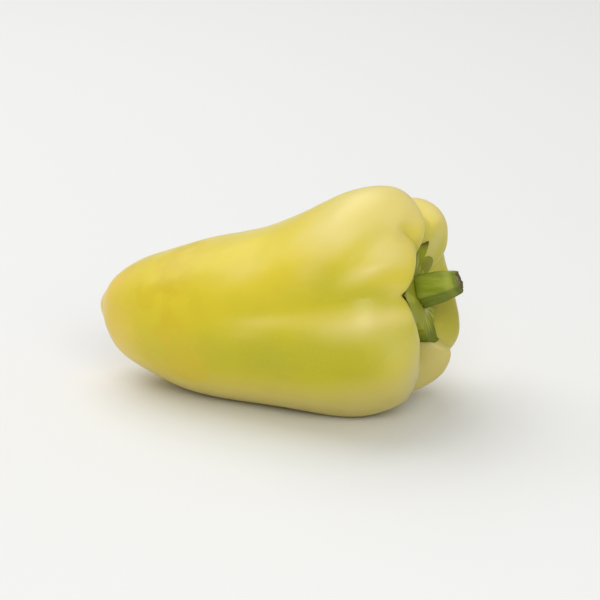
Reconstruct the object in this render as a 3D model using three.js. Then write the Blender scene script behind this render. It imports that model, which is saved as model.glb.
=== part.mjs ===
// A pale yellow-green sweet pepper, picked and lying on its side, with its green calyx and cut stem.
// Millimetres, +Z up. The fruit's long axis runs along X, blossom end at -X and stem end at +X, and
// climbs a little toward the stem because the shoulders are thicker than the blossom end.
import * as THREE from 'three';

// Fruit outline in its own axes: distance from the blossom end and radius, from the blossom tip over
// the shoulder to the middle of the hollow round the stem. One outline is along the crown of a lobe,
// the other along the bottom of the furrow between two lobes. Below, 'along' counts these points.
const CROWN_OUTLINE = [
  [-4.8, 0], [-4.1, 2.9], [-1.3, 7.1], [5.8, 15.8], [20, 23.2], [42, 29], [66, 32.8], [86, 37.9],
  [101, 39.9], [113, 38.4], [121.5, 34], [126.6, 27.5], [126, 22.5], [121, 17], [114.8, 11], [112.5, 0],
];
const FURROW_OUTLINE = [
  [-4.8, 0], [-4.1, 2.9], [-1.3, 6.9], [5.8, 15.4], [20, 22.7], [42, 28.3], [66, 31.2], [86, 34.2],
  [99, 36], [109.5, 34.6], [116.8, 30.2], [121.2, 25.5], [120.2, 20.5], [117, 15.5], [113.6, 10.5],
  [112.5, 0],
];
const LAST_POINT = CROWN_OUTLINE.length - 1;
const RIM_X = 127; // where the shoulders turn over into the hollow
const RIM_AT = 11.3; // the same place, counted in outline points

// Furrows round the fruit, in degrees from the near side upward: at the rim and on the body. The depth
// is a share of the space between the two outlines. A furrow turns and deepens over its stretch along
// the fruit, and at the rim its bottom stands along X by its reach. The second furrow is a short crease
// at the rim, which a soft trough carries on over the shoulder.
const MAIN_STRETCH = { turn: [62, 120], deepen: [62, 120] };
const SHORT_STRETCH = { turn: [98, 130], deepen: [120, 127] };
const FURROWS = [
  { rim: 20.5, body: 19, rimDepth: 1.0, bodyDepth: 1.0, reach: -1.3, stretch: MAIN_STRETCH },
  { rim: 70, body: 34, rimDepth: 0.5, bodyDepth: 0.0, reach: -2.5, stretch: SHORT_STRETCH },
  { rim: 122, body: 130, rimDepth: 1.0, bodyDepth: 0.7, reach: 0, stretch: MAIN_STRETCH },
  { rim: 158, body: 168, rimDepth: 1.0, bodyDepth: 0.8, reach: 0, stretch: MAIN_STRETCH },
  { rim: 244, body: 240, rimDepth: 0.85, bodyDepth: 0.6, reach: 0, stretch: MAIN_STRETCH },
  { rim: 268, body: 273, rimDepth: 1.0, bodyDepth: 0.9, reach: -7, stretch: MAIN_STRETCH },
];
const FURROW_HALF_WIDTH = 13; // degrees, on the body
const TROUGH = { furrow: 1, aside: -2, depth: 0.5, stretch: [96, 114], end: [11, 12.5], halfWidth: 6 };
const SHOULDER_STRETCH = [92, 124]; // where the soft valleys of the body become creases

// The section of a crease: the rounding at its bottom, a share of the lobe's width, and the power of its
// sides. It sharpens from the shoulder to the rim.
const SHOULDER_CREASE = { softness: 0.4, power: 1.0 };
const RIM_CREASE = { softness: 0.1, power: 0.7 };
const CREASE_STRETCH = [9.6, 11.4];

// The lobe after each furrow: how far its rim stands along X, how much more on its later side, and how
// much thicker it is on the shoulder and at the rim. 'steps' is the number of facets across it.
const LOBES = [
  { reach: -1.7, skew: 0, shoulder: -0.3, rim: -0.4, steps: 11 },
  { reach: -4.2, skew: -14, shoulder: 3.8, rim: 2.6, steps: 13 },
  { reach: -2.9, skew: 0, shoulder: 5.4, rim: 4.5, steps: 9 },
  { reach: -3.4, skew: 8.5, shoulder: 0.5, rim: -0.6, steps: 15 },
  { reach: -1.8, skew: 0, shoulder: -3.2, rim: -2.9, steps: 7 },
  { reach: -5.2, skew: 10.1, shoulder: -4.4, rim: -6.4, steps: 18 },
];
const SWELL_WIDTH = 0.31; // a share of the lobe's width
const SWELL_MARGIN = 4; // degrees more
const REACH_POWER = 0.8;
const COLUMN_CROWDING = 0.06; // how much closer the facets stand beside a furrow

// Where each swelling rises and falls again, counted in outline points.
const SHOULDER_SWELL = [6, 8.5, 8.5, 10.5];
const RIM_SWELL = [8.5, 10.5, 11, 13.5];
const CREST_SWELL = [8.5, 11.5, 12, 14];

// A low bulge on the near lobe's shoulder.
const BULGE = { height: 1.3, x: 112, length: 13, toward: -1, width: 14 };

// The long axis is bowed, both ends upward, and the blossom tip is lifted a little more.
const BOW = 4.3;
const BOW_MIDDLE = 64;
const BOW_TOWARD = 108; // degrees round the fruit
const TIP_LIFT = 2.2;
const TIP_STRETCH = [-6, 7];
const FRUIT_ROWS = 60;

// Calyx: a thin green star lying in the hollow, drawn out into sepal teeth and thickened into a sloping
// collar under the stem. DISC_END and the tips of the teeth are counted in outline points. A tooth
// points toward a direction in degrees and is so many degrees wide before and after it. With a power
// above 1 its sides curve inward, below 1 outward.
const CALYX_GAP = 0.5;
const CALYX_ROWS = 9;
const LEAF_THICKNESS = 1.2;
const LEAF_EDGE_THICKNESS = 0.7;
const DISC_END = 14.1;
const TEETH = [
  { toward: 20.5, tip: 11.5, before: 44, after: 44, power: 0.9 },
  { toward: 123, tip: 12.05, before: 27, after: 10, power: 0.8 },
  { toward: 147, tip: 12.85, before: 26, after: 26, power: 0.2 },
  { toward: 176, tip: 13.1, before: 14, after: 14, power: 0.8 },
  { toward: 219, tip: 13.8, before: 22, after: 22, power: 0.4 },
  { toward: 249, tip: 12.6, before: 11, after: 44, power: 0.9 },
];
const COLLAR_TOP = 118.0; // distance from the blossom end, at the collar's middle
const COLLAR_RADIUS = 6.2;
const COLLAR_RISE = 0.12; // outside the collar, mm per mm
const COLLAR_BLEND = 1.6;
const COLLAR_SHIFT = 3.6; // toward the lean

// Stem: short, five-sided and tapering, cut off nearly square, leaning off the fruit's axis. Its profile
// is distance from the foot and radius.
const STEM_LEAN = 10.5; // degrees off the fruit's axis
const STEM_LEAN_TOWARD = 120; // degrees round the fruit
const STEM_GAP = 0.35;
const STEM_PROFILE = [[0, 5.3], [0.7, 5.7], [3.7, 5.5], [7.7, 5.2], [11.8, 4.45], [13.7, 4.0], [14.9, 3.6]];
const STEM_CORNERS = 5;
const STEM_CORNER_TOWARD = -38; // degrees round the stem
const STEM_CORNER_HEIGHT = 0.2; // share of the radius
const STEM_CORNER_POWER = 3;
const STEM_CUT_SLANT = 0.08; // mm along for each mm across
const STEM_SLANT_TOWARD = -100; // degrees round the stem
const CORNER_MEAN = 0.3125; // of a half wave to that power
const STEM_COLUMNS = 40;
const STEM_ROWS = 14;

// How the fruit lies: tipped up toward the stem, its middle over the origin, and pressed flat where it
// touches the table. TABLE_Z is the table's height below the tipped axes.
const PITCH = 9.2;
const MIDDLE_X = 63.7;
const MIDDLE_Y = 1.4;
const TABLE_Z = -20.0;

const FRUIT_SKIN = { color: 0xd6c64a, roughness: 0.32, metalness: 0 }; // pale yellow-green, waxy
const CALYX_LEAF = { color: 0x7f8a2c, roughness: 0.6, metalness: 0 }; // olive green
const STEM_GREEN = { color: 0x86943a, roughness: 0.55, metalness: 0 };

function radians(degrees) {
  return THREE.MathUtils.degToRad(degrees);
}

function smooth(from, to, x) {
  return THREE.MathUtils.smoothstep(x, from, to);
}

function mix(from, to, share) {
  return THREE.MathUtils.lerp(from, to, share);
}

function outline(points) {
  return new THREE.SplineCurve(points.map(([x, r]) => new THREE.Vector2(x, r)));
}

const crownOutline = outline(CROWN_OUTLINE);
const furrowOutline = outline(FURROW_OUTLINE);

// Signed angle from b to a, -180 to 180.
function turnFrom(b, a) {
  return THREE.MathUtils.euclideanModulo(a - b + 180, 360) - 180;
}

// Direction and depth of one furrow at a distance x along the fruit.
function furrowAt(furrow, x) {
  return {
    angle: mix(furrow.body, furrow.rim, smooth(...furrow.stretch.turn, x)),
    depth: mix(furrow.bodyDepth, furrow.rimDepth, smooth(...furrow.stretch.deepen, x)),
  };
}

// The two directions, in degrees, between which a lobe lies.
function lobeEdges(furrows, index) {
  const next = (index + 1) % furrows.length;
  return [furrows[index].angle, furrows[next].angle + (next === 0 ? 360 : 0)];
}

// 0 at both edges of a lobe and 1 in its middle.
function lobeArch(across, soft) {
  return (Math.hypot(4 * across * (1 - across), soft) - soft) / (Math.hypot(1, soft) - soft);
}

// How much of the crown outline shows in one direction: soft valleys between the lobes on the body, and
// at the rim the lobe's creased section.
function crownShare(furrows, index, across, angle, x, creased) {
  let onBody = 1;
  for (const furrow of furrows) {
    const away = turnFrom(furrow.angle, angle) / FURROW_HALF_WIDTH;
    onBody *= 1 - furrow.depth * Math.exp(-away * away);
  }
  const next = (index + 1) % furrows.length;
  const depth = mix(furrows[index].depth, furrows[next].depth, smooth(0, 1, across));
  const onRim = 1 - depth * (1 - creased);
  return mix(onBody, onRim, smooth(...SHOULDER_STRETCH, x));
}

function rampUpAndDown([start, top, fall, end], along) {
  return smooth(start, top, along) * (1 - smooth(fall, end, along));
}

// The extra thickness of the lobes on the shoulder and at the rim, in one direction.
function lobeSwell(furrows, along, angle) {
  const onShoulder = rampUpAndDown(SHOULDER_SWELL, along);
  const onRim = rampUpAndDown(RIM_SWELL, along);
  let swell = 0;
  LOBES.forEach((lobe, index) => {
    const [start, end] = lobeEdges(furrows, index);
    const away = turnFrom((start + end) / 2, angle) / (SWELL_WIDTH * (end - start) + SWELL_MARGIN);
    swell += (lobe.shoulder * onShoulder + lobe.rim * onRim) * Math.exp(-away * away);
  });
  return swell;
}

// The bulge, less the trough that carries on the short crease.
function localRelief(furrows, along, angle, x) {
  const aside = turnFrom(furrows[TROUGH.furrow].angle + TROUGH.aside, angle) / TROUGH.halfWidth;
  const fade = smooth(...TROUGH.stretch, x) * (1 - smooth(...TROUGH.end, along));
  const away = Math.hypot((x - BULGE.x) / BULGE.length, turnFrom(BULGE.toward, angle) / BULGE.width);
  const bulge = along > RIM_AT ? 0 : BULGE.height * Math.exp(-away * away);
  return bulge - TROUGH.depth * fade * Math.exp(-aside * aside);
}

// A point of the fruit's skin. 'along' counts outline points from the blossom tip; 'around' counts
// lobes, so that whole numbers lie on the furrows.
function skinPoint(along, around) {
  const crown = crownOutline.getPoint(along / LAST_POINT);
  const furrow = furrowOutline.getPoint(along / LAST_POINT);
  const x = along > RIM_AT ? RIM_X : crown.x;
  const furrows = FURROWS.map((each) => furrowAt(each, x));
  const index = Math.floor(around) % FURROWS.length;
  const across = around - Math.floor(around);
  const angle = mix(...lobeEdges(furrows, index), across);
  const sharp = smooth(...CREASE_STRETCH, along);
  const arch = lobeArch(across, mix(SHOULDER_CREASE.softness, RIM_CREASE.softness, sharp));
  const creased = arch ** mix(SHOULDER_CREASE.power, RIM_CREASE.power, sharp);
  const share = crownShare(furrows, index, across, angle, x, creased);
  const { reach, skew } = LOBES[index];
  const next = FURROWS[(index + 1) % FURROWS.length];
  const inFurrow = mix(FURROWS[index].reach, next.reach, smooth(0, 1, across));
  const lean = mix(inFurrow, reach + skew * (across - 0.5), arch ** REACH_POWER);
  const forward = rampUpAndDown(CREST_SWELL, along) * lean;
  const swell = lobeSwell(furrows, along, angle) + localRelief(furrows, along, angle, x);
  const radius = mix(furrow.y, crown.y, share) + swell;
  return place(mix(furrow.x, crown.x, share) + forward, radius, angle);
}

// From distance, radius and direction to a point, with the axis bowed.
function place(x, radius, angle) {
  const lift = TIP_LIFT * (1 - smooth(...TIP_STRETCH, x));
  const bow = BOW * ((x - BOW_MIDDLE) / BOW_MIDDLE) ** 2 + lift;
  const direction = radians(angle);
  const toward = radians(BOW_TOWARD);
  return new THREE.Vector3(
    x,
    -radius * Math.cos(direction) - bow * Math.cos(toward),
    radius * Math.sin(direction) + bow * Math.sin(toward),
  );
}

// Where the columns of facets run: closer together beside the furrows.
function columns() {
  const list = [];
  LOBES.forEach((lobe, index) => {
    for (let step = 0; step < lobe.steps; step += 1) {
      const share = step / lobe.steps;
      list.push(index + share - COLUMN_CROWDING * Math.sin(2 * Math.PI * share));
    }
  });
  return list;
}

// A closed skin from rows of points, the first and last row a single point each.
function closedSkin(rows) {
  const starts = [];
  let count = 0;
  for (const row of rows) {
    starts.push(count);
    count += row.length;
  }
  const index = [];
  for (let r = 0; r < rows.length - 1; r += 1) {
    const around = Math.max(rows[r].length, rows[r + 1].length);
    for (let c = 0; c < around; c += 1) {
      const next = (c + 1) % around;
      const a = starts[r] + c;
      const b = starts[r + 1] + c;
      const bNext = starts[r + 1] + next;
      const aNext = starts[r] + next;
      if (rows[r].length === 1) {
        index.push(starts[r], b, bNext);
      } else if (rows[r + 1].length === 1) {
        index.push(a, starts[r + 1], aNext);
      } else {
        index.push(a, b, bNext, a, bNext, aNext);
      }
    }
  }
  const geometry = new THREE.BufferGeometry().setFromPoints(rows.flat());
  geometry.setIndex(index);
  return geometry;
}

function fruitGeometry() {
  const around = columns();
  const rows = [[skinPoint(0, 0)]];
  for (let row = 1; row < FRUIT_ROWS; row += 1) {
    rows.push(around.map((column) => skinPoint((LAST_POINT * row) / FRUIT_ROWS, column)));
  }
  rows.push([skinPoint(LAST_POINT, 0)]);
  return closedSkin(rows);
}

// The sepal outline: how far along the fruit's skin the calyx reaches in one column.
function calyxEnd(column) {
  const index = Math.floor(column);
  const atRim = FURROWS.map((each) => furrowAt(each, RIM_X));
  const angle = mix(...lobeEdges(atRim, index), column - index);
  let end = DISC_END;
  for (const tooth of TEETH) {
    const away = turnFrom(tooth.toward, angle);
    const share = Math.max(-away / tooth.before, away / tooth.after);
    const point = Math.max(0, 1 - share) ** tooth.power;
    end = Math.min(end, mix(DISC_END, tooth.tip, point));
  }
  return end;
}

// The middle of the stem's foot: its distance along the fruit and its offset toward the lean.
function stemFoot() {
  const bow = BOW * ((COLLAR_TOP - BOW_MIDDLE) / BOW_MIDDLE) ** 2;
  return { x: COLLAR_TOP, offset: bow + COLLAR_SHIFT };
}

// Height of the collar above a point of the hollow. It is square to the leaning stem, and rises
// outside it.
function collarHeight(point) {
  const toward = radians(STEM_LEAN_TOWARD);
  const out = -point.y * Math.cos(toward) + point.z * Math.sin(toward) - stemFoot().offset;
  const side = point.y * Math.sin(toward) + point.z * Math.cos(toward);
  const outside = Math.max(0, Math.hypot(out, side) - COLLAR_RADIUS);
  const tilt = Math.tan(radians(STEM_LEAN)) * THREE.MathUtils.clamp(out, -COLLAR_RADIUS, COLLAR_RADIUS);
  return COLLAR_TOP - tilt + COLLAR_RISE * outside;
}

function calyxGeometry() {
  const around = columns();
  const under = [];
  const over = [];
  for (let row = 1; row <= CALYX_ROWS; row += 1) {
    const share = row / CALYX_ROWS;
    const seats = around.map((column) => skinPoint(mix(LAST_POINT, calyxEnd(column), share), column));
    seats.forEach((seat) => seat.setX(seat.x + CALYX_GAP));
    under.push(seats);
    over.unshift(seats.map((seat) => {
      const leaf = seat.x + mix(LEAF_THICKNESS, LEAF_EDGE_THICKNESS, share);
      const collar = collarHeight(seat) - leaf;
      const top = leaf + (collar + Math.hypot(collar, COLLAR_BLEND * (1 - share))) / 2;
      return new THREE.Vector3(top, seat.y, seat.z);
    }));
  }
  const middle = skinPoint(LAST_POINT, 0);
  const foot = new THREE.Vector3(collarHeight(middle), middle.y, middle.z);
  middle.setX(middle.x + CALYX_GAP);
  return closedSkin([[middle], ...under, ...over, [foot]]);
}

function stemGeometry() {
  const toward = radians(STEM_LEAN_TOWARD);
  const lean = radians(STEM_LEAN);
  const outward = new THREE.Vector3(0, -Math.cos(toward), Math.sin(toward));
  const along = new THREE.Vector3(Math.cos(lean), 0, 0).addScaledVector(outward, Math.sin(lean));
  const across = new THREE.Vector3().crossVectors(along, outward).normalize();
  const up = new THREE.Vector3().crossVectors(across, along);
  const { x, offset } = stemFoot();
  const foot = new THREE.Vector3(x, 0, 0).addScaledVector(outward, offset);
  foot.addScaledVector(along, STEM_GAP);
  const profile = outline(STEM_PROFILE);
  const [cutDistance, cutRadius] = STEM_PROFILE.at(-1);
  const ring = (distance, radius) => Array.from({ length: STEM_COLUMNS }, (_, column) => {
    const turn = (2 * Math.PI * column) / STEM_COLUMNS;
    const wave = Math.cos(STEM_CORNERS * (turn - radians(STEM_CORNER_TOWARD)));
    const ribbed = radius * (1 + STEM_CORNER_HEIGHT * (((1 + wave) / 2) ** STEM_CORNER_POWER - CORNER_MEAN));
    const aslant = Math.cos(turn - radians(STEM_SLANT_TOWARD)) * (distance / cutDistance) ** 3;
    const slant = STEM_CUT_SLANT * ribbed * aslant;
    return foot.clone()
      .addScaledVector(along, distance + slant)
      .addScaledVector(across, ribbed * Math.cos(turn))
      .addScaledVector(up, ribbed * Math.sin(turn));
  });
  const rows = [[foot.clone()], ring(0, STEM_PROFILE[0][1] / 2)];
  for (let row = 0; row <= STEM_ROWS; row += 1) {
    const at = profile.getPoint(row / STEM_ROWS);
    rows.push(ring(at.x, at.y));
  }
  rows.push(ring(cutDistance, cutRadius / 2), [foot.clone().addScaledVector(along, cutDistance)]);
  return closedSkin(rows);
}

// Turns a piece from the fruit's own axes to the way it lies, and flattens it where it meets the table.
function lay(geometry) {
  geometry.rotateY(-radians(PITCH));
  geometry.translate(-MIDDLE_X * Math.cos(radians(PITCH)), -MIDDLE_Y, -TABLE_Z);
  const position = geometry.getAttribute('position');
  for (let i = 0; i < position.count; i += 1) {
    position.setZ(i, Math.max(0, position.getZ(i)));
  }
  geometry.computeVertexNormals();
  return geometry;
}

function piece(name, geometry, look) {
  const mesh = new THREE.Mesh(lay(geometry), new THREE.MeshStandardMaterial(look));
  mesh.name = name;
  return mesh;
}

function buildPepper() {
  const group = new THREE.Group();
  group.name = 'sweet_pepper';
  group.add(piece('fruit', fruitGeometry(), FRUIT_SKIN));
  group.add(piece('calyx', calyxGeometry(), CALYX_LEAF));
  group.add(piece('stem', stemGeometry(), STEM_GREEN));
  return group;
}

export default buildPepper();
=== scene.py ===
import bpy
import numpy as np
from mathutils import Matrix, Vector


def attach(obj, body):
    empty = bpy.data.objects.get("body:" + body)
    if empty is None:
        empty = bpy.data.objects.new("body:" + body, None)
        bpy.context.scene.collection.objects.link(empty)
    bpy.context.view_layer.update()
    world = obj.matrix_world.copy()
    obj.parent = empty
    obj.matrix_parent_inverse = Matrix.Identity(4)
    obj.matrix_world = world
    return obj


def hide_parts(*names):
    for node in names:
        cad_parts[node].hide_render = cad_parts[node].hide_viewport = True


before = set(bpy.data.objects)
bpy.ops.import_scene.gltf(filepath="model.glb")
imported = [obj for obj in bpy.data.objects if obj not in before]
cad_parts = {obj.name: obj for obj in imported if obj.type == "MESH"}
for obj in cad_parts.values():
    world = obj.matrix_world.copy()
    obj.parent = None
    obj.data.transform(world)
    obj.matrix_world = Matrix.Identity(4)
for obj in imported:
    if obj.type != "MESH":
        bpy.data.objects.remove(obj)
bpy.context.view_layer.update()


# The fruit
# One fleshy hollow body that grew as five lobes round a core, with a waxy skin. It starts at the scar
# that the flower left and turns in over the shoulders to the hollow where the calyx sits.

# Two outlines, over the crown of a lobe and along the bottom of a furrow: distance along the fruit and
# radius, in millimetres. 'along' counts their points from the blossom tip, and 'around' counts the lobes
# from the first furrow.
CROWN_OUTLINE = [
    (-4.8, 0), (-4.1, 2.9), (-1.3, 7.1), (5.8, 15.8), (20, 23.2), (42, 29), (66, 32.8), (86, 37.9),
    (101, 39.9), (113, 38.4), (121.5, 34), (126.6, 27.5), (126, 22.5), (121, 17), (114.8, 11), (112.5, 0),
]
FURROW_OUTLINE = [
    (-4.8, 0), (-4.1, 2.9), (-1.3, 6.9), (5.8, 15.4), (20, 22.7), (42, 28.3), (66, 31.2), (86, 34.2),
    (99, 36), (109.5, 34.6), (116.8, 30.2), (121.2, 25.5), (120.2, 20.5), (117, 15.5), (113.6, 10.5),
    (112.5, 0),
]
LAST_POINT = len(CROWN_OUTLINE) - 1

# The furrows, in degrees from the near side upward, with their depths and how far forward the rim stands
# in each. They turn and deepen over a stretch along the fruit, and past RIM_AT, in the hollow, they stay
# as they are at RIM_X. The second one is a short crease on the shoulder.
FURROW_AT_RIM = np.array([20.5, 70, 122, 158, 244, 268])
FURROW_ON_BODY = np.array([19.0, 34, 130, 168, 240, 273])
RIM_DEPTH = np.array([1.0, 0.5, 1, 1, 0.85, 1])
BODY_DEPTH = np.array([1.0, 0, 0.7, 0.8, 0.6, 0.9])
FURROW_REACH = np.array([-1.3, -2.5, 0, 0, 0, -7])
TURN_FROM = np.array([62.0, 98, 62, 62, 62, 62])
TURN_TO = np.array([120.0, 130, 120, 120, 120, 120])
DEEPEN_FROM = np.array([62.0, 120, 62, 62, 62, 62])
DEEPEN_TO = np.array([120.0, 127, 120, 120, 120, 120])
RIM_AT = 11.3
RIM_X = 127.0

# A furrow is a soft valley on the body. Over the shoulder stretch it becomes the space between two
# arches, which is sharper at the rim than on the shoulder.
FURROW_HALF_WIDTH = 13.0
SHOULDER_STRETCH = (92.0, 124.0)
SHOULDER_SOFTNESS, CREASE_SOFTNESS = 0.4, 0.1
SHOULDER_POWER, CREASE_POWER = 1.0, 0.7
SHARPER_POINTS = (9.6, 11.4)

# The lobe after each furrow: how far its rim stands forward, how much more on its later side, and how
# much thicker it is on the shoulder and at the rim. The ramps are in outline points. A swelling's half
# width is a share of the lobe's own width and a margin in degrees.
REACH = np.array([-1.7, -4.2, -2.9, -3.4, -1.8, -5.2])
SKEW = np.array([0.0, -14, 0, 8.5, 0, 10.1])
REACH_POWER = 0.8
REACH_RAMP = (8.5, 11.5, 12, 14)
SHOULDER_SWELL = np.array([-0.3, 3.8, 5.4, 0.5, -3.2, -4.4])
RIM_SWELL = np.array([-0.4, 2.6, 4.5, -0.6, -2.9, -6.4])
SHOULDER_RAMP = (6, 8.5, 8.5, 10.5)
RIM_RAMP = (8.5, 10.5, 11, 13.5)
SWELL_WIDTH = 0.31
SWELL_MARGIN = 4.0

# A shallow trough leads up to the crease, a little to its side, and the near lobe bulges before the rim.
# A spot is its distance along the fruit, length, direction and width.
TROUGH_DEPTH = 0.5
TROUGH_ASIDE, TROUGH_HALF_WIDTH = -2.0, 6.0
TROUGH_STRETCH = (96.0, 114.0)
TROUGH_END_POINTS = (11, 12.5)
BULGE_HEIGHT = 1.3
BULGE_SPOT = (112.0, 13.0, -1.0, 14.0)
BULGE_END_POINT = RIM_AT + 1

# The fruit's axis is bowed, and its blossom tip is lifted a little more.
BOW = 4.3
BOW_MIDDLE = 64.0
BOW_TOWARD = np.radians(108)
TIP_LIFT = 2.2
TIP_STRETCH = (-6.0, 7.0)

# How the fruit lies: tipped up toward the stem, pressed flat where it meets the table.
PITCH = np.radians(9.2)
MIDDLE_X = 63.7
MIDDLE_Y = 1.4
TABLE_Z = -20.0
MILLIMETRE = 0.001


def smooth(start, end, x):
    """0 up to start, 1 from end on, and 3s^2 - 2s^3 of the share s between. With start above end it
    falls instead."""
    s = np.clip((x - start) / (end - start), 0, 1)
    return s * s * (3 - 2 * s)


def ramp(stretch, x):
    """Rises over the first two values of the stretch and falls over the last two."""
    start, top, fall, end = stretch
    return smooth(start, top, x) * (1 - smooth(fall, end, x))


def hump(away, half_width):
    """1 in the middle, less on both sides: exp(-(away / half width)^2)."""
    return np.exp(-((away / half_width) ** 2))


def turn_between(a, b):
    """Signed turn from b to a, in degrees from -180 to 180."""
    return (a - b + 180) % 360 - 180


def spot(x, turn, at, length, toward, width):
    """1 at a place on the fruit, less round it: hump of the distance away x hump of the turn away."""
    return hump(x - at, length) * hump(turn_between(turn, toward), width)


def curve(points, t):
    """The point at t, counted in points, on the curve through them: in each stretch a cubic with slopes
    of half the step between the neighbours of its ends."""
    p = np.array(points, float)
    i = np.clip(np.floor(t).astype(int), 0, len(p) - 2)
    f = (t - i)[..., None]
    before, start, end, after = (p[np.clip(i + k, 0, len(p) - 1)] for k in (-1, 0, 1, 2))
    leave, arrive = (end - before) / 2, (after - start) / 2
    bend = (2 * f - 3) * f * f
    return start * (1 + bend) - end * bend + leave * f * (1 - f) ** 2 - arrive * f * f * (1 - f)


def lobe_arch(across, soft):
    """A parabola 4a(1 - a) over the lobe with its two ends rounded: 0 at the furrows, 1 in the middle."""
    return (np.hypot(4 * across * (1 - across), soft) - soft) / (np.hypot(1, soft) - soft)


def furrow_course(x):
    """Direction and depth of every furrow at distance x: body value + smooth step x (rim - body)."""
    x = np.asarray(x, float)[..., None]
    turn = smooth(TURN_FROM, TURN_TO, x)
    sink = smooth(DEEPEN_FROM, DEEPEN_TO, x)
    angles = FURROW_ON_BODY + turn * (FURROW_AT_RIM - FURROW_ON_BODY)
    depths = BODY_DEPTH + sink * (RIM_DEPTH - BODY_DEPTH)
    return angles, depths


def pick(values, index):
    """From each row of values, the one with that index."""
    return np.take_along_axis(values, index[..., None], axis=-1)[..., 0]


def skin(along, around):
    """The fruit's skin in its own axes, in millimetres, with the crown share at each point.
    Radius = furrow outline + crown share x (crown outline - furrow outline) + swell. Crown share = the
    product over the furrows of 1 - depth x hump of the angle away, on the body, and 1 - depth x
    (1 - arch^power) at the rim. Swell = a hump for each lobe - the trough + the bulge. Distance = outline
    + ramp x (furrow's reach + arch^power x (lobe's reach - furrow's reach))."""
    along, around = np.broadcast_arrays(along, around)
    crown = curve(CROWN_OUTLINE, along)
    furrow = curve(FURROW_OUTLINE, along)
    x = np.where(along > RIM_AT, RIM_X, crown[..., 0])
    angles, depths = furrow_course(x)
    closed_angles = np.concatenate([angles, angles[..., :1] + 360], axis=-1)
    closed_depths = np.concatenate([depths, depths[..., :1]], axis=-1)
    lobe = np.floor(around).astype(int) % len(REACH)
    across = around - np.floor(around)
    start, end = pick(closed_angles, lobe), pick(closed_angles, lobe + 1)
    angle = start + across * (end - start)
    before, after = pick(closed_depths, lobe), pick(closed_depths, lobe + 1)
    depth = before + smooth(0, 1, across) * (after - before)

    valleys = depths * hump(turn_between(angles, angle[..., None]), FURROW_HALF_WIDTH)
    on_body = np.prod(1 - valleys, axis=-1)
    sharper = smooth(*SHARPER_POINTS, along)
    power = SHOULDER_POWER + sharper * (CREASE_POWER - SHOULDER_POWER)
    arch = lobe_arch(across, SHOULDER_SOFTNESS + sharper * (CREASE_SOFTNESS - SHOULDER_SOFTNESS))
    on_rim = 1 - depth * (1 - arch**power)
    share = on_body + smooth(*SHOULDER_STRETCH, x) * (on_rim - on_body)

    middles = (closed_angles[..., 1:] + closed_angles[..., :-1]) / 2
    widths = SWELL_WIDTH * (closed_angles[..., 1:] - closed_angles[..., :-1]) + SWELL_MARGIN
    on_lobes = hump(turn_between(middles, angle[..., None]), widths)
    swell = (on_lobes * SHOULDER_SWELL).sum(-1) * ramp(SHOULDER_RAMP, along)
    swell += (on_lobes * RIM_SWELL).sum(-1) * ramp(RIM_RAMP, along)
    trough = hump(turn_between(angle, angles[..., 1] + TROUGH_ASIDE), TROUGH_HALF_WIDTH)
    trough *= smooth(*TROUGH_STRETCH, x) * (1 - smooth(*TROUGH_END_POINTS, along))
    bulge = spot(crown[..., 0], angle, *BULGE_SPOT)
    swell += BULGE_HEIGHT * bulge * (along < BULGE_END_POINT) - TROUGH_DEPTH * trough

    here, next_one = FURROW_REACH[lobe], FURROW_REACH[(lobe + 1) % len(REACH)]
    in_furrow = here + smooth(0, 1, across) * (next_one - here)
    on_crest = REACH[lobe] + SKEW[lobe] * (across - 0.5)
    forward = ramp(REACH_RAMP, along) * (in_furrow + arch**REACH_POWER * (on_crest - in_furrow))
    outline = furrow + share[..., None] * (crown - furrow)
    return bend_axis(outline[..., 0] + forward, outline[..., 1] + swell, np.radians(angle)), share


def bend_axis(x, radius, direction):
    """From distance, radius and direction to a point: the axis is a parabola, both ends upward, and the
    blossom tip is lifted a little more."""
    bow = BOW * ((x - BOW_MIDDLE) / BOW_MIDDLE) ** 2 + TIP_LIFT * (1 - smooth(*TIP_STRETCH, x))
    y = -radius * np.cos(direction) - bow * np.cos(BOW_TOWARD)
    z = radius * np.sin(direction) + bow * np.sin(BOW_TOWARD)
    return np.stack([x, y, z], axis=-1)


def lay(points):
    """From the fruit's own axes in millimetres to the frame in metres: turned by the pitch about Y,
    moved over the origin, and kept above the table."""
    x, y, z = np.moveaxis(points, -1, 0)
    turned_x = x * np.cos(PITCH) - z * np.sin(PITCH) - MIDDLE_X * np.cos(PITCH)
    turned_z = x * np.sin(PITCH) + z * np.cos(PITCH) - TABLE_Z
    turned = np.stack([turned_x, y - MIDDLE_Y, np.maximum(turned_z, 0)], axis=-1)
    return turned * MILLIMETRE


def grid_normals(grid):
    """Unit normals of a grid that closes on itself across its columns: the step down the rows crossed
    with the step along the columns."""
    down = np.gradient(grid, axis=0)
    wide = np.roll(grid, -1, axis=1) - np.roll(grid, 1, axis=1)
    normal = np.cross(down, wide)
    return normal / np.maximum(np.linalg.norm(normal, axis=-1, keepdims=True), 1e-9)


def waves(points, lengths, seed):
    """A smooth random field: one sine wave for each length, each in a random direction, added up and
    divided by the square root of their number."""
    random = np.random.default_rng(seed)
    total = np.zeros(points.shape[:-1])
    for length in lengths:
        direction = random.normal(size=3)
        direction /= np.linalg.norm(direction)
        total += np.sin(points @ direction * 2 * np.pi / length + random.uniform(0, 2 * np.pi))
    return total / np.sqrt(len(lengths))


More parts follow.
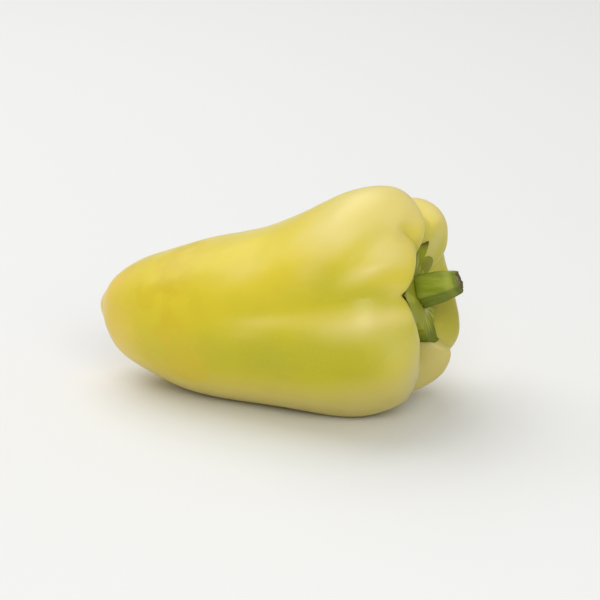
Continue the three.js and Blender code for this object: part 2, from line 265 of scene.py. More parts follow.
def closed_skin(name, grid, first, last, attributes):
    """A mesh object from rows of points that close across the columns, with a pole at each end.
    Each attribute is a name and its value at every point of the grid, or for every row or column."""
    rows, columns = grid.shape[:2]
    number = 1 + np.arange(rows * columns).reshape(rows, columns)
    beside = np.roll(number, -1, axis=1)
    quads = np.stack([number[:-1], number[1:], beside[1:], beside[:-1]], axis=-1).reshape(-1, 4)
    last_number = rows * columns + 1
    start_fan = np.stack([np.zeros(columns, int), number[0], beside[0]], axis=-1)
    end_fan = np.stack([number[-1], np.full(columns, last_number), beside[-1]], axis=-1)
    points = np.concatenate([[first], grid.reshape(-1, 3), [last]])
    mesh = bpy.data.meshes.new(name)
    mesh.from_pydata(points.tolist(), [], start_fan.tolist() + quads.tolist() + end_fan.tolist())
    mesh.shade_smooth()
    for title, values in attributes.items():
        values = np.broadcast_to(values, (rows, columns))
        ends = [values[0].mean()], values.ravel(), [values[-1].mean()]
        layer = mesh.attributes.new(title, "FLOAT", "POINT")
        layer.data.foreach_set("value", np.concatenate(ends).astype(np.float32))
    piece = bpy.data.objects.new(name, mesh)
    bpy.context.scene.collection.objects.link(piece)
    return piece


def even_rows(count, start, end):
    """Row places in outline points, at even steps of length along the crown outline, which is measured
    in a few thousand small steps."""
    fine = np.linspace(0, LAST_POINT, OUTLINE_STEPS)
    steps = np.linalg.norm(np.diff(curve(CROWN_OUTLINE, fine), axis=0), axis=1)
    length = np.concatenate([[0], np.cumsum(steps)])
    first, last = np.interp([start, end], fine, length)
    return np.interp(np.linspace(first, last, count), length, fine)


def crowded_columns(counts, crowding):
    """Column places: even shares of each lobe, drawn toward its furrows by a sine."""
    places = []
    for lobe, count in enumerate(counts):
        share = np.arange(count) / count
        places.append(lobe + share - crowding * np.sin(2 * np.pi * share))
    return np.concatenate(places)


# The grid, and the relief on it: low lumps, a fine ripple, and the scar of the flower. The relief starts
# a little off the tip and ends in the hollow.
FRUIT_ROWS = 224
FRUIT_COLUMNS = (34, 46, 28, 62, 30, 70)
FRUIT_CROWDING = 0.08
FIRST_ROW, LAST_ROW = 0.02, LAST_POINT - 0.05
OUTLINE_STEPS = 3000
LUMP_HEIGHT, LUMP_LENGTHS, LUMP_SEED = 0.2, (44, 37, 31, 28, 25, 22, 19, 17), 4
RIPPLE_HEIGHT, RIPPLE_LENGTHS, RIPPLE_SEED = 0.035, (11, 9.5, 8, 7.3, 6.4, 5.6), 9
RELIEF_FROM_TIP = (2, 12)
RELIEF_END_POINTS = (12.2, 13.2)
SCAR_RADIUS, SCAR_DEPTH = 1.5, 0.5
TIP_POINTS = 3
FAR_FROM_TIP = 100

along = even_rows(FRUIT_ROWS, FIRST_ROW, LAST_ROW)[:, None]
around = crowded_columns(FRUIT_COLUMNS, FRUIT_CROWDING)[None, :]
fruit_grid, crown_share = skin(along, around)
fruit_normals = grid_normals(fruit_grid)
from_tip = fruit_grid - fruit_grid[0].mean(0)
tip_away = np.hypot(from_tip[..., 1], from_tip[..., 2]) + FAR_FROM_TIP * (along > TIP_POINTS)
scar = hump(tip_away, SCAR_RADIUS)
relief = LUMP_HEIGHT * waves(fruit_grid, LUMP_LENGTHS, LUMP_SEED)
relief += RIPPLE_HEIGHT * waves(fruit_grid, RIPPLE_LENGTHS, RIPPLE_SEED)
relief *= smooth(*RELIEF_FROM_TIP, tip_away) * (1 - smooth(*RELIEF_END_POINTS, along))
relief -= SCAR_DEPTH * scar
fruit_grid = fruit_grid + relief[..., None] * fruit_normals
fruit_x = fruit_grid[..., 0]
fruit_turn = np.degrees(np.arctan2(fruit_grid[..., 2], -fruit_grid[..., 1]))

# Colour by place. Each value is the share of one colour in the skin. Stretches are in millimetres along
# the fruit, or in outline points where the name says so, and directions and widths are in degrees.
# Green, a darker leafy tone: low on the near side, partly the skin's own tone and partly painted shade; in
# the furrows; in the hollow, partly painted shade; beside the crease and the first furrow, as painted shade
# of the trough and the notch; and toward the stem, but none at the tip.
LOW_SIDE_GREEN, LOW_SIDE_TOWARD, LOW_SIDE_WIDTH = 0.8, -8, 26
FURROW_GREEN, FURROW_GREEN_FROM = 0.35, (40, 110)
HOLLOW_GREEN_POINTS = (10.8, 12.6)
TROUGH_SHADE, TROUGH_TINT_ASIDE, TROUGH_TINT_WIDTH = 0.25, 3, 9
TROUGH_TINT_STRETCH = (88, 101, 108, 119)
STEM_END_GREEN, STEM_END_GREEN_FROM = 0.2, (78, 112)
NOTCH_SHADE, NOTCH_TOWARD, NOTCH_WIDTH, NOTCH_FROM = 0.15, 26, 8, (92, 108)
GREEN_FROM_TIP = (-5, 55)

low_side = hump(turn_between(fruit_turn, LOW_SIDE_TOWARD), LOW_SIDE_WIDTH)
in_furrow = (1 - crown_share) * smooth(*FURROW_GREEN_FROM, fruit_x)
in_hollow = smooth(*HOLLOW_GREEN_POINTS, along)
tint_toward = furrow_course(fruit_x)[0][..., 1] + TROUGH_TINT_ASIDE
in_trough = hump(turn_between(fruit_turn, tint_toward), TROUGH_TINT_WIDTH)
in_trough *= ramp(TROUGH_TINT_STRETCH, fruit_x)
at_notch = hump(turn_between(fruit_turn, NOTCH_TOWARD), NOTCH_WIDTH) * smooth(*NOTCH_FROM, fruit_x)
# The low side, hollow, trough and notch shares paint shade into the green.
green = LOW_SIDE_GREEN * low_side + FURROW_GREEN * in_furrow + in_hollow + TROUGH_SHADE * in_trough
green += STEM_END_GREEN * smooth(*STEM_END_GREEN_FROM, fruit_x) + NOTCH_SHADE * at_notch
green *= smooth(*GREEN_FROM_TIP, fruit_x)

# Pale, a painted highlight: on the crowns of the shoulders where they face up, less in the trough and low
# on the near side; along the top of the body; and a little round the rim.
PALE_FROM = (78, 108)
PALE_CROWN = (0.2, 0.9)
PALE_END_POINTS = (12, 9.5)
PALE_FACING_UP = (-0.35, 0.5)
PALE_LOSS = 0.85
NEAR_SIDE_TOWARD, NEAR_SIDE_WIDTH, NEAR_SIDE_TO = -9, 17, (112, 90)
TOP_HIGHLIGHT, TOP_TURN, TOP_TO = 0.9, (70, 95, 120, 150), (100, 70)
RIM_HIGHLIGHT, RIM_HIGHLIGHT_FROM, RIM_HIGHLIGHT_END_POINTS = 0.12, (100, 120), (13, 11)

pale = smooth(*PALE_FROM, fruit_x) * smooth(*PALE_CROWN, crown_share) * smooth(*PALE_END_POINTS, along)
# Facing up: painted highlight where the skin faces the light from above.
pale *= smooth(*PALE_FACING_UP, fruit_normals[..., 2]) * (1 - PALE_LOSS * in_trough)
near_side = hump(turn_between(fruit_turn, NEAR_SIDE_TOWARD), NEAR_SIDE_WIDTH)
pale *= 1 - PALE_LOSS * near_side * smooth(*NEAR_SIDE_TO, fruit_x)
pale += TOP_HIGHLIGHT * ramp(TOP_TURN, fruit_turn) * smooth(*TOP_TO, fruit_x)
pale += RIM_HIGHLIGHT * smooth(*RIM_HIGHLIGHT_FROM, fruit_x) * smooth(*RIM_HIGHLIGHT_END_POINTS, along)

# Single patches of painted highlight or, with a strength below zero, less of it: strength, then the spot.
# Each takes a part of what it adds off the green.
HIGHLIGHT_PATCHES = [
    (0.75, 113, 12, 12, 7), (0.3, 92, 16, 13, 5), (0.4, 70, 11, 13, 4), (0.2, 66, 9, 6, 4),
    (0.3, 63, 13, 46, 10), (0.3, 94, 12, 60, 12), (0.3, 124, 7, 82, 12), (0.6, 120, 8, 129, 15),
    (0.3, 119, 6, -15, 15), (0.35, 120.5, 4, 29, 6), (-0.35, 115, 7, 41, 5), (-0.25, 118, 5, 61, 6),
]
PATCH_OFF_GREEN = 0.6

for strength, *place in HIGHLIGHT_PATCHES:
    patch = strength * spot(fruit_x, fruit_turn, *place)
    pale += patch
    green -= PATCH_OFF_GREEN * patch

# Painted reflection and shade: underneath, a greyish tone for the pale floor's reflection, and more so low
# on the shoulder, where it is painted shade as well. The far lobe gets a darker olive instead, which is
# painted
# shade. Warm: a stretch behind the tip, and a golden spot on its upper side. The tip's own tint ends in a
# wandering edge.
BELOW_REFLECTION, BELOW_SINE = 0.75, (0.3, 0.8)
LOW_SHOULDER_SHADE, LOW_SHOULDER_TOWARD, LOW_SHOULDER_WIDTH = 0.9, -97, 24
LOW_SHOULDER_POINTS = (8.5, 9.5)
FAR_LOBE_TOWARD, FAR_LOBE_WIDTH, FAR_LOBE_POINTS, FAR_LOBE_LOSS = 197, 42, (9, 10.5), 0.8
WARM_STRETCH = (0, 14, 28, 66)
GOLDEN_SPOT = (36, 15, 56, 22)
TIP_TINT_STRETCH = (0, 24)
TIP_EDGE_WANDER, TIP_EDGE_LENGTHS, TIP_EDGE_SEED = 2, (30, 22, 17), 21

low_shoulder = hump(turn_between(fruit_turn, LOW_SHOULDER_TOWARD), LOW_SHOULDER_WIDTH)
painted_reflection_and_shade = BELOW_REFLECTION * smooth(*BELOW_SINE, -np.sin(np.radians(fruit_turn)))
painted_reflection_and_shade += LOW_SHOULDER_SHADE * low_shoulder * smooth(*LOW_SHOULDER_POINTS, along)
far_lobe_shade = hump(turn_between(fruit_turn, FAR_LOBE_TOWARD), FAR_LOBE_WIDTH) * smooth(*FAR_LOBE_POINTS, along)
pale *= 1 - FAR_LOBE_LOSS * far_lobe_shade
painted_reflection_and_shade *= 1 - FAR_LOBE_LOSS * far_lobe_shade
golden = spot(fruit_x, fruit_turn, *GOLDEN_SPOT)
warm = np.maximum(ramp(WARM_STRETCH, fruit_x), golden)
tip_edge = TIP_EDGE_WANDER * waves(fruit_grid, TIP_EDGE_LENGTHS, TIP_EDGE_SEED)
tip = 1 - smooth(*TIP_TINT_STRETCH, fruit_x + tip_edge)

# The shares 'pale', 'far' and part of 'green' carry painted highlight and painted shade.
fruit = closed_skin(
    "fruit_skin", lay(fruit_grid), lay(fruit_grid[0].mean(0)), lay(fruit_grid[-1].mean(0)),
    {"green": np.clip(green, 0, 1), "pale": np.clip(pale, 0, 1), "painted_reflection_and_shade": np.clip(painted_reflection_and_shade, 0, 1),
     "warm": warm, "tip": tip, "scar": scar, "far": far_lobe_shade},
)


class Nodes:
    """A material's node tree, with short ways to add the nodes that the pieces share."""

    def __init__(self, name):
        self.material = bpy.data.materials.new(name)
        self.material.use_nodes = True
        self.tree = self.material.node_tree
        self.shader = self.tree.nodes["Principled BSDF"]
        self.place = self.tree.nodes.new("ShaderNodeTexCoord").outputs["Object"]

    def link(self, source, target):
        """Joins an output to an input."""
        self.tree.links.new(source, target)

    def attribute(self, name):
        """The value that the mesh carries under that name."""
        node = self.tree.nodes.new("ShaderNodeAttribute")
        node.attribute_name = name
        return node.outputs["Fac"]

    def noise(self, scale, detail=2.0, roughness=0.5, stretch=(1, 1, 1)):
        """Noise at the place on the object, times the stretch for each axis."""
        mapping = self.tree.nodes.new("ShaderNodeMapping")
        mapping.inputs["Scale"].default_value = stretch
        node = self.tree.nodes.new("ShaderNodeTexNoise")
        node.inputs["Scale"].default_value = scale
        node.inputs["Detail"].default_value = detail
        node.inputs["Roughness"].default_value = roughness
        self.link(self.place, mapping.inputs["Vector"])
        self.link(mapping.outputs["Vector"], node.inputs["Vector"])
        return node.outputs["Fac"]

    def span(self, value, low, high, to_low=0.0, to_high=1.0):
        """A smooth step of the value, from to_low at low to to_high at high."""
        node = self.tree.nodes.new("ShaderNodeMapRange")
        node.interpolation_type = "SMOOTHSTEP"
        for key, number in (("From Min", low), ("From Max", high), ("To Min", to_low), ("To Max", to_high)):
            node.inputs[key].default_value = number
        self.link(value, node.inputs["Value"])
        return node.outputs["Result"]

    def math(self, operation, a, b):
        """One sum or product of two values, each a number or an output."""
        node = self.tree.nodes.new("ShaderNodeMath")
        node.operation = operation
        for socket, value in zip(node.inputs, (a, b)):
            if isinstance(value, (int, float)):
                socket.default_value = value
            else:
                self.link(value, socket)
        return node.outputs["Value"]

    def mix(self, share, a, b):
        """Colour a with a share of colour b in it, a + share x (b - a)."""
        node = self.tree.nodes.new("ShaderNodeMix")
        node.data_type = "RGBA"
        for socket, value in ((node.inputs[0], share), (node.inputs[6], a), (node.inputs[7], b)):
            if isinstance(value, (int, float)):
                socket.default_value = value
            elif isinstance(value, tuple):
                socket.default_value = (*value, 1)
            else:
                self.link(value, socket)
        return node.outputs[2]

    def tint(self, colour, share, strength, tone):
        """The colour with the tone mixed in, by the share times the strength."""
        return self.mix(self.math("MULTIPLY", share, strength), colour, tone)

    def bump(self, height, distance, strength, under=None):
        """A fine relief for the light only, on top of another one where there is one."""
        node = self.tree.nodes.new("ShaderNodeBump")
        node.inputs["Strength"].default_value = strength
        node.inputs["Distance"].default_value = distance
        self.link(height, node.inputs["Height"])
        if under is not None:
            self.link(under, node.inputs["Normal"])
        return node.outputs["Normal"]


def waxy_skin():
    """Pale yellow-green pepper skin: thin, waxy and slightly translucent. Its colours are mixed in one
    after the other by the shares that the mesh carries, with blotches, streaks, freckles and flecks. Some
    of
    them are painted light: highlights on the shoulders and the top, the floor's reflection and shade
    underneath, and shade on the far lobe, in the hollow and by the crease."""
    nodes = Nodes("waxy pepper skin")
    yellow, leafy = (0.755, 0.60, 0.022), (0.51, 0.465, 0.003)
    highlight_cream, reflected_grey, olive = (0.77, 0.645, 0.22), (0.61, 0.52, 0.20), (0.40, 0.355, 0.03)
    golden, amber, dry = (0.66, 0.50, 0.010), (0.86, 0.59, 0.10), (0.16, 0.09, 0.035)
    wax = (0.80, 0.72, 0.20)
    blotch = nodes.span(nodes.noise(38, 3, 0.55), 0.35, 0.68)
    streak = nodes.span(nodes.noise(60, 3, 0.6, stretch=(0.22, 1, 1)), 0.35, 0.7)
    leafiness = nodes.math("ADD", nodes.attribute("green"), nodes.math("MULTIPLY", blotch, 0.18))
    leafiness = nodes.math("ADD", leafiness, nodes.math("MULTIPLY", streak, 0.10))
    colour = nodes.mix(leafiness, yellow, leafy)
    # Cream is painted highlight.
    colour = nodes.tint(colour, nodes.attribute("pale"), 0.75, highlight_cream)
    # Painted reflection of the floor and painted shade underneath.
    colour = nodes.tint(colour, nodes.attribute("painted_reflection_and_shade"), 0.8, reflected_grey)
    # Olive on the far lobe is painted shade.
    colour = nodes.tint(colour, nodes.attribute("far"), 0.9, olive)
    freckle = nodes.span(nodes.noise(55, 2, 0.5), 0.5, 0.66)
    mottle = nodes.span(nodes.noise(120, 2, 0.5), 0.47, 0.64)
    freckles = nodes.math("ADD", nodes.math("MULTIPLY", freckle, 0.75), nodes.math("MULTIPLY", mottle, 0.6))
    warmth = nodes.math("MULTIPLY", nodes.attribute("warm"), nodes.math("ADD", 0.2, freckles))
    colour = nodes.tint(colour, warmth, 0.7, golden)
    colour = nodes.tint(colour, nodes.attribute("tip"), 0.6, amber)
    colour = nodes.tint(colour, nodes.attribute("scar"), 0.8, dry)
    fleck = nodes.span(nodes.noise(900, 2, 0.5), 0.60, 0.72)
    colour = nodes.tint(colour, fleck, 0.10, wax)
    nodes.link(colour, nodes.shader.inputs["Base Color"])
    nodes.link(nodes.span(nodes.noise(130, 3, 0.6), 0.3, 0.7, 0.36, 0.44), nodes.shader.inputs["Roughness"])
    grain = nodes.bump(nodes.noise(1400, 2, 0.5), 0.00003, 0.35)
    nodes.link(nodes.bump(nodes.noise(260, 2, 0.5), 0.0001, 0.3, grain), nodes.shader.inputs["Normal"])
    nodes.shader.inputs["Subsurface Weight"].default_value = 0.18
    nodes.shader.inputs["Subsurface Radius"].default_value = (0.9, 0.75, 0.15)
    nodes.shader.inputs["Subsurface Scale"].default_value = 0.004
    nodes.shader.inputs["Specular IOR Level"].default_value = 0.2
    nodes.shader.inputs["Coat Weight"].default_value = 0.5
    nodes.shader.inputs["Coat Roughness"].default_value = 0.38
    nodes.shader.inputs["IOR"].default_value = 1.5
    return nodes.material


fruit.data.materials.append(waxy_skin())
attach(fruit, "root")
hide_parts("fruit")


# The calyx
# The green star of sepals under the flower, grown onto the fruit in the hollow. It is thin, with six
# pointed teeth, ribs and folds, and it thickens into a collar where the stem starts.

# A tooth: its direction in degrees, how far along the skin its tip reaches, its width before and after,
# and the power of its outline. Between the teeth the calyx ends at DISC_END.
TEETH = [
    (20.5, 11.25, 46, 46, 0.9), (123, 12.05, 27, 10, 0.8), (147, 12.85, 26, 26, 0.2),
    (176, 13.1, 14, 14, 0.8), (219, 13.8, 22, 22, 0.4), (249, 12.6, 11, 44, 0.9),
]
DISC_END = 14.1

# The leaf is sunk into the skin, thick at the collar and thin at its edge.
CALYX_SINK = 0.4
LEAF_THICKNESS, LEAF_EDGE_THICKNESS, LEAF_THINNING = 1.3, 0.5, 3
CALYX_ROWS = 26
CALYX_COLUMNS = (40, 40, 26, 50, 30, 50)

# The collar is square to the stem, which leans. COLLAR_SHIFT is how far it sits off the fruit's axis.
STEM_LEAN = np.radians(10.5)
STEM_LEAN_TOWARD = np.radians(120)
COLLAR_TOP = 118.0
COLLAR_RADIUS = 6.2
COLLAR_RISE = 0.12
COLLAR_BLEND = 1.6
COLLAR_SHIFT = 3.6

# A rib runs down the middle of each tooth, and folds run out from the collar, but not on the near side
# nor far out on the last tooth. Both start at a distance from the collar and fade toward the leaf's edge.
RIB_HEIGHT, RIB_WIDTH, RIB_FROM = 0.4, 4, (2, 6)
FOLD_HEIGHT, FOLD_COUNT, FOLDS_FROM = 0.5, 27, (0.5, 2.5)
FOLDED = (90, 115, 288, 308)
UNFOLDED_FROM, UNFOLDED_BEYOND = (250, 262), (8.0, 11.0)
EDGE_FADE = (0.8, 1.0)

# Where the leaf's colour changes: over a range of directions, and from a place along the skin, in
# outline points, outward. The corky part is a ring at a distance from the collar, and the first tooth's
# tip is less dry than the others.
# The swept tooth's darker green is partly painted shade.
SWEPT_TOOTH, SWEPT_POINTS = (230, 240, 288, 303), (14.4, 13.7)
BROWN_FLAP, FLAP_POINTS = (128, 138, 158, 172), (14.4, 13.6)
DRY_TIP_POINTS, FIRST_TIP_DRYNESS, DRIER_FROM = (12.7, 12.1), 0.35, (70, 90)
CORKY_PART, CORKY_AT, CORKY_WIDTH = (175, 205, 240, 262), 1.4, 1.3


def sepal_edge(angle):
    """How far along the skin the calyx reaches: the disc's end, drawn out to each tooth's tip by
    (1 - angle away / width)^power. Also how near each place is to the middle line of a tooth."""
    end = np.full(angle.shape, DISC_END)
    middle = np.zeros(angle.shape)
    for toward, tip_at, before, after, power in TEETH:
        away = turn_between(angle, toward)
        point = np.maximum(0, 1 - np.maximum(-away / before, away / after)) ** power
        end = np.minimum(end, DISC_END + point * (tip_at - DISC_END))
        middle = np.maximum(middle, hump(away, RIB_WIDTH))
    return end, middle


def stem_offset():
    """How far the stem's foot stands off the fruit's axis: the bow there and the collar's shift."""
    return BOW * ((COLLAR_TOP - BOW_MIDDLE) / BOW_MIDDLE) ** 2 + COLLAR_SHIFT


def collar_height(points):
    """Height of the collar's top: square to the leaning stem inside its radius, rising outside it. Also
    how far outside its radius each point is."""
    y, z = points[..., 1], points[..., 2]
    out = -y * np.cos(STEM_LEAN_TOWARD) + z * np.sin(STEM_LEAN_TOWARD) - stem_offset()
    side = y * np.sin(STEM_LEAN_TOWARD) + z * np.cos(STEM_LEAN_TOWARD)
    outside = np.maximum(0, np.hypot(out, side) - COLLAR_RADIUS)
    tilt = np.tan(STEM_LEAN) * np.clip(out, -COLLAR_RADIUS, COLLAR_RADIUS)
    return COLLAR_TOP - tilt + COLLAR_RISE * outside, outside


def both_sides(values):
    """The values of the seat's rows, and again in reverse order for the rows of the upper side."""
    return np.concatenate([values, values[::-1]])


rim_turns = np.append(FURROW_AT_RIM, FURROW_AT_RIM[0] + 360)
calyx_around = crowded_columns(CALYX_COLUMNS, 0.0)[None, :]
calyx_angle = np.interp(calyx_around, np.arange(len(rim_turns)), rim_turns)
calyx_share = (np.arange(1, CALYX_ROWS + 1) / CALYX_ROWS)[:, None]
edge, tooth_middle = sepal_edge(calyx_angle)
calyx_along = LAST_POINT + calyx_share * (edge - LAST_POINT)
under, _ = skin(calyx_along, calyx_around)
calyx_normals = grid_normals(under)
collar, outside = collar_height(under)
folds = np.cos(np.radians(calyx_angle) * FOLD_COUNT) * smooth(*FOLDS_FROM, outside)
folds *= ramp(FOLDED, calyx_angle)
folds *= 1 - smooth(*UNFOLDED_FROM, calyx_angle) * smooth(*UNFOLDED_BEYOND, outside)
rib = RIB_HEIGHT * tooth_middle * smooth(*RIB_FROM, outside) + FOLD_HEIGHT * folds
rib *= 1 - smooth(*EDGE_FADE, calyx_share)
thickness = LEAF_THICKNESS + calyx_share**LEAF_THINNING * (LEAF_EDGE_THICKNESS - LEAF_THICKNESS) + rib
seat = under - CALYX_SINK * calyx_normals
upper = under + thickness[..., None] * calyx_normals
over = collar - upper[..., 0]
upper[..., 0] += (over + np.hypot(over, COLLAR_BLEND * (1 - calyx_share))) / 2
middle_seat = skin(np.array([[float(LAST_POINT)]]), np.array([[0.0]]))[0][0, 0]
foot = middle_seat.copy()
foot[0] = collar_height(middle_seat)[0]
middle_seat[0] -= CALYX_SINK
tooth_tip = smooth(*DRY_TIP_POINTS, calyx_along)
tooth_tip = tooth_tip * (FIRST_TIP_DRYNESS + (1 - FIRST_TIP_DRYNESS) * smooth(*DRIER_FROM, calyx_angle))
calyx_values = {
    "edge": both_sides(calyx_share),
    # 'rib' carries the relief, so that the colour paints highlight on the ribs and shade in the folds.
    "rib": np.concatenate([rib * 0, rib[::-1] / RIB_HEIGHT]),
    "swept_tooth_shade": both_sides(smooth(*SWEPT_POINTS, calyx_along) * ramp(SWEPT_TOOTH, calyx_angle)),
    "corky": both_sides(hump(outside - CORKY_AT, CORKY_WIDTH) * ramp(CORKY_PART, calyx_angle)),
    "tip": both_sides(tooth_tip),
    "flap": both_sides(ramp(BROWN_FLAP, calyx_angle) * smooth(*FLAP_POINTS, calyx_along)),
}
calyx_grid = np.concatenate([seat, upper[::-1]])
calyx = closed_skin("calyx_leaf", lay(calyx_grid), lay(middle_seat), lay(foot), calyx_values)


def calyx_green():
    """Olive green leaf, with painted highlight on its ribs and painted shade between its folds, corky by
    the collar, a deeper green on the swept tooth that is partly painted shade, tan on the flap, and dark
    and dry at the tips of the teeth."""
    nodes = Nodes("calyx green")
    olive, pale, dark = (0.27, 0.29, 0.010), (0.44, 0.45, 0.05), (0.06, 0.07, 0.004)
    cork, leaf, dry = (0.60, 0.55, 0.26), (0.13, 0.165, 0.002), (0.07, 0.045, 0.006)
    tan = (0.26, 0.22, 0.015)
    blotch = nodes.span(nodes.noise(150, 3, 0.6), 0.35, 0.7)
    # Painted highlight on the ribs, then painted shade between the folds.
    painted_rib_light = nodes.math("MULTIPLY", nodes.span(nodes.attribute("rib"), -0.2, 0.9), 0.6)
    colour = nodes.mix(nodes.math("ADD", painted_rib_light, nodes.math("MULTIPLY", blotch, 0.25)), olive, pale)
    colour = nodes.tint(colour, nodes.span(nodes.attribute("rib"), -0.4, -1.1), 0.45, dark)
    colour = nodes.tint(colour, nodes.attribute("corky"), 0.55, cork)
    # The swept tooth: a deeper green, partly painted shade.
    colour = nodes.tint(colour, nodes.attribute("swept_tooth_shade"), 0.95, leaf)
    colour = nodes.tint(colour, nodes.attribute("flap"), 0.42, tan)
    tips = nodes.math("MULTIPLY", nodes.attribute("tip"), nodes.span(nodes.attribute("edge"), 0.8, 1.0))
    colour = nodes.tint(colour, tips, 0.9, dry)
    nodes.link(colour, nodes.shader.inputs["Base Color"])
    nodes.link(nodes.span(blotch, 0, 1, 0.5, 0.65), nodes.shader.inputs["Roughness"])
    nodes.shader.inputs["Specular IOR Level"].default_value = 0.2
    nodes.link(nodes.bump(nodes.noise(500, 3, 0.6), 0.0002, 0.5), nodes.shader.inputs["Normal"])
    return nodes.material


calyx.data.materials.append(calyx_green())
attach(calyx, "root")
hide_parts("calyx")


# The stem
# The fruit's stalk, five-sided and fibrous, swollen a little at its foot where it joins the collar,
# and cut through with a blade. The cut end has dried to a brown rim round a pale pith.

# Distance from the foot and radius. The corners stand out by a share of the radius, less the mean of
# their formula, so that the radius stays true.
STEM_PROFILE = [(0, 5.3), (0.7, 5.7), (3.7, 5.5), (7.7, 5.2), (11.8, 4.45), (13.7, 4.0), (14.9, 3.6)]
STEM_ROWS = 60
STEM_COLUMNS = 160
FOOT_SINK, FOOT_RADIUS = 0.8, 5.2
STEM_CORNERS, STEM_CORNER_TOWARD = 5, np.radians(-38)
STEM_CORNER_HEIGHT, STEM_CORNER_POWER, CORNER_MEAN = 0.2, 3, 0.3125

# A set of fibres: its strength, its number round the stem, and how far and how often it wanders.
FIBRE_HEIGHT = 0.012
FIBRES = [(1, 23, 1.3, 3), (0.6, 41, 2, 2)]

# The cut is slanted, hollow toward its middle, and ragged. Slant and raggedness grow toward the end. A
# set of ragged waves: its strength, its number round the cut, its turn on the way in, and its start in
# degrees.
CUT_ROWS = 18
CUT_SLANT, CUT_SLANT_TOWARD, CUT_SLANT_POWER = 0.08, np.radians(-100), 3
CUT_HOLLOW, CUT_HOLLOW_TO = 0.5, (0, 0.6)
CUT_RAGGED, CUT_RAGGED_POWER = 0.06, 12
RAGGED_WAVES = [(1, 17, 5, 0), (1, 11, -9, -90), (0.7, 29, 14, 0)]

# Where the stem's colour changes: distances from the foot, where painted shade darkens the foot, shares of
# the way in over the cut, and a range of directions in degrees for the low face, which gets painted shade.
FOOT_SHADE = (0, 3.5)
PALE_RING = (9.5, 11.5, 12.2, 13.4)
DARK_BAND = (13.2, 13.9)
CUT_EDGE = (0.0, 0.12)
PITH_EDGE = (0.25, 0.75)
SHADED_LOW_FACE = (-125, -105, -50, -36)

profile = curve(STEM_PROFILE, np.linspace(0, len(STEM_PROFILE) - 1, STEM_ROWS))
cut_distance, cut_radius = STEM_PROFILE[-1]
inward = np.linspace(1, 0, CUT_ROWS + 1)[1:-1]
distance = np.concatenate([[-FOOT_SINK], profile[:, 0], np.full(CUT_ROWS - 1, cut_distance)])[:, None]
radius = np.concatenate([[FOOT_RADIUS], profile[:, 1], cut_radius * inward])[:, None]
on_cut = np.concatenate([np.zeros(STEM_ROWS + 1), 1 - inward])[:, None]
turn = np.linspace(0, 2 * np.pi, STEM_COLUMNS, endpoint=False)[None, :]

# Radius = profile x (1 + corners + fibres), with fibres as cosines round the stem, and none on the cut.
corner = (0.5 + 0.5 * np.cos(STEM_CORNERS * (turn - STEM_CORNER_TOWARD))) ** STEM_CORNER_POWER
fibres = np.zeros_like(turn)
for strength, count, wander, bends in FIBRES:
    fibres += strength * np.cos(count * turn + wander * np.sin(bends * turn))
side_fibres = FIBRE_HEIGHT * fibres * (on_cut == 0)
ribbed = radius * (1 + STEM_CORNER_HEIGHT * (corner - CORNER_MEAN) + side_fibres)

# Distance = profile + slant + raggedness - hollow, with raggedness as cosines round the cut.
to_end = np.clip(distance / cut_distance, 0, 1)
slant = CUT_SLANT * ribbed * np.cos(turn - CUT_SLANT_TOWARD) * to_end**CUT_SLANT_POWER
ragged = np.zeros_like(ribbed)
for strength, count, twist, start in RAGGED_WAVES:
    ragged += strength * np.cos(count * turn + twist * on_cut + np.radians(start))
ragged *= CUT_RAGGED * to_end**CUT_RAGGED_POWER
lengthwise = distance + slant + ragged - CUT_HOLLOW * smooth(*CUT_HOLLOW_TO, on_cut)

outward = np.array([0, -np.cos(STEM_LEAN_TOWARD), np.sin(STEM_LEAN_TOWARD)])
axis = np.array([np.cos(STEM_LEAN), 0, 0]) + np.sin(STEM_LEAN) * outward
sideways = np.cross(axis, outward)
sideways /= np.linalg.norm(sideways)
upward = np.cross(sideways, axis)
stem_foot = np.array([COLLAR_TOP, 0, 0]) + stem_offset() * outward
stem_grid = (
    stem_foot
    + lengthwise[..., None] * axis
    + (ribbed * np.cos(turn))[..., None] * sideways
    + (ribbed * np.sin(turn))[..., None] * upward
)
stem_values = {
    "cut": smooth(*CUT_EDGE, on_cut),
    "pith": smooth(*PITH_EDGE, on_cut),
    "foot": 1 - smooth(*FOOT_SHADE, distance),
    "ring": ramp(PALE_RING, distance),
    "band": smooth(*DARK_BAND, distance),
    "ridge": corner,
    "low_face_shade": ramp(SHADED_LOW_FACE, turn_between(np.degrees(turn), 0)),
}
stem = closed_skin(
    "stem_stalk", lay(stem_grid), lay(stem_grid[0].mean(0)), lay(stem_grid[-1].mean(0)), stem_values,
)


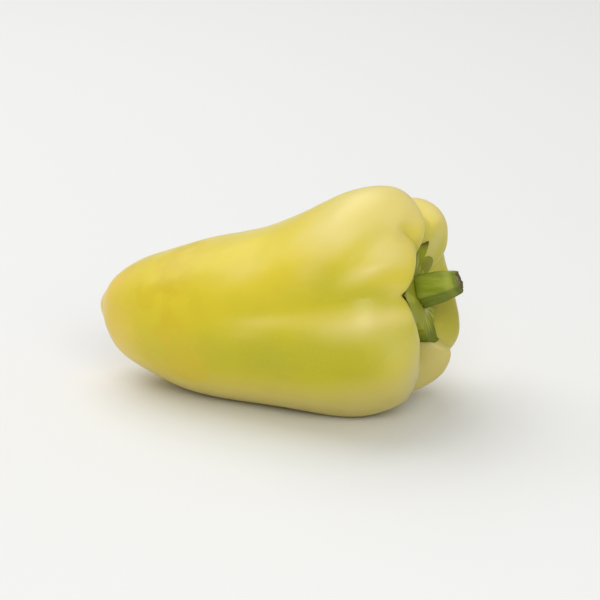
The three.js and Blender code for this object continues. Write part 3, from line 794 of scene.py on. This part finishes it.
def stalk_green():
    """Fibrous green stalk with pale lengthwise fibres and a pale ring, darker on its corners and just
    before the cut, with painted shade on its low face and at its foot; the cut end is brown with a pale
    pith full of strands."""
    nodes = Nodes("stalk green")
    green, pale, dark = (0.235, 0.30, 0.010), (0.42, 0.46, 0.06), (0.06, 0.085, 0.004)
    brown, pith, strand = (0.09, 0.08, 0.02), (0.17, 0.13, 0.045), (0.50, 0.38, 0.25)
    fibre = nodes.span(nodes.noise(420, 3, 0.6, stretch=(0.12, 1, 1)), 0.35, 0.7)
    colour = nodes.tint(green, fibre, 0.45, pale)
    colour = nodes.tint(colour, nodes.attribute("ring"), 0.5, pale)
    colour = nodes.tint(colour, nodes.attribute("ridge"), 0.2, dark)
    # Painted shade on the low face.
    colour = nodes.tint(colour, nodes.attribute("low_face_shade"), 0.5, dark)
    colour = nodes.tint(colour, nodes.attribute("band"), 0.45, dark)
    # Painted shade at the foot, by the collar.
    colour = nodes.tint(colour, nodes.attribute("foot"), 0.35, dark)
    cut = nodes.mix(nodes.attribute("pith"), brown, pith)
    strands = nodes.span(nodes.noise(1500, 2, 0.5), 0.5, 0.62)
    cut = nodes.mix(nodes.math("MULTIPLY", strands, nodes.attribute("pith")), cut, strand)
    colour = nodes.mix(nodes.attribute("cut"), colour, cut)
    nodes.link(colour, nodes.shader.inputs["Base Color"])
    nodes.shader.inputs["Roughness"].default_value = 0.5
    nodes.shader.inputs["Specular IOR Level"].default_value = 0.3
    nodes.link(nodes.bump(fibre, 0.0002, 0.4), nodes.shader.inputs["Normal"])
    return nodes.material


stem.data.materials.append(stalk_green())
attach(stem, "root")
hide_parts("stem")


# The floor
# A plain pale sheet, wide enough to fill every view. It belongs to the stage and not to the pepper.
FLOOR_HALF = 6.0
corners = [
    (-FLOOR_HALF, -FLOOR_HALF, 0), (FLOOR_HALF, -FLOOR_HALF, 0),
    (FLOOR_HALF, FLOOR_HALF, 0), (-FLOOR_HALF, FLOOR_HALF, 0),
]
floor_mesh = bpy.data.meshes.new("floor")
floor_mesh.from_pydata(corners, [], [(0, 1, 2, 3)])
floor = bpy.data.objects.new("floor", floor_mesh)
bpy.context.scene.collection.objects.link(floor)
floor_nodes = Nodes("pale floor")
floor_nodes.shader.inputs["Base Color"].default_value = (0.8, 0.8, 0.79, 1)
floor_nodes.shader.inputs["Roughness"].default_value = 0.9
floor_mesh.materials.append(floor_nodes.material)


# The light
# Soft studio light: a large panel high up behind the fruit to the left, a smaller one in front to the
# right, and a pale surrounding.
LIGHT_AIM = Vector((0, 0, 0.04))


def facing(azimuth, elevation):
    """The direction from the fruit to a place: azimuth 0 is in front, 90 at the stem's side."""
    a, e = np.radians(azimuth), np.radians(elevation)
    return Vector((np.sin(a) * np.cos(e), -np.cos(a) * np.cos(e), np.sin(e)))


def panel(name, azimuth, elevation, distance, width, height, power):
    """A rectangular light at a distance in that direction, turned to the fruit."""
    toward = facing(azimuth, elevation)
    light = bpy.data.lights.new(name, "AREA")
    light.shape = "RECTANGLE"
    light.size = width
    light.size_y = height
    light.energy = power
    lamp = bpy.data.objects.new(name, light)
    lamp.location = LIGHT_AIM + toward * distance
    lamp.rotation_euler = (-toward).to_track_quat("-Z", "Y").to_euler()
    bpy.context.scene.collection.objects.link(lamp)


panel("back left panel", azimuth=-122, elevation=60, distance=1.3, width=1.5, height=1.3, power=11.6)
panel("front right panel", azimuth=30, elevation=34, distance=1.3, width=1.0, height=0.6, power=7)
world = bpy.data.worlds.new("studio")
world.use_nodes = True
world.node_tree.nodes["Background"].inputs["Color"].default_value = (1, 1, 1, 1)
world.node_tree.nodes["Background"].inputs["Strength"].default_value = 0.48
bpy.context.scene.world = world
bpy.context.scene.view_settings.view_transform = "Standard"


# The camera
# It stands in front, a little to the stem's side, and looks down on the fruit. It aims a little to the
# right of the fruit's middle and below it, as in the photo.
CAMERA_AZIMUTH, CAMERA_ELEVATION, CAMERA_DISTANCE = 20.6, 18.0, 0.9
FRUIT_MIDDLE = Vector((-0.0023, 0.0, 0.04145))
AIM_RIGHT, AIM_DOWN = 0.0105, 0.0057

back = facing(CAMERA_AZIMUTH, CAMERA_ELEVATION)
turned = (-back).to_track_quat("-Z", "Y")
aim = FRUIT_MIDDLE + turned @ Vector((AIM_RIGHT, -AIM_DOWN, 0))
camera_data = bpy.data.cameras.new("camera")
camera_data.sensor_width = 36
camera_data.lens = 151.2
camera = bpy.data.objects.new("camera", camera_data)
camera.location = FRUIT_MIDDLE + back * CAMERA_DISTANCE
camera.rotation_euler = (aim - camera.location).to_track_quat("-Z", "Y").to_euler()
bpy.context.scene.collection.objects.link(camera)
bpy.context.scene.camera = camera
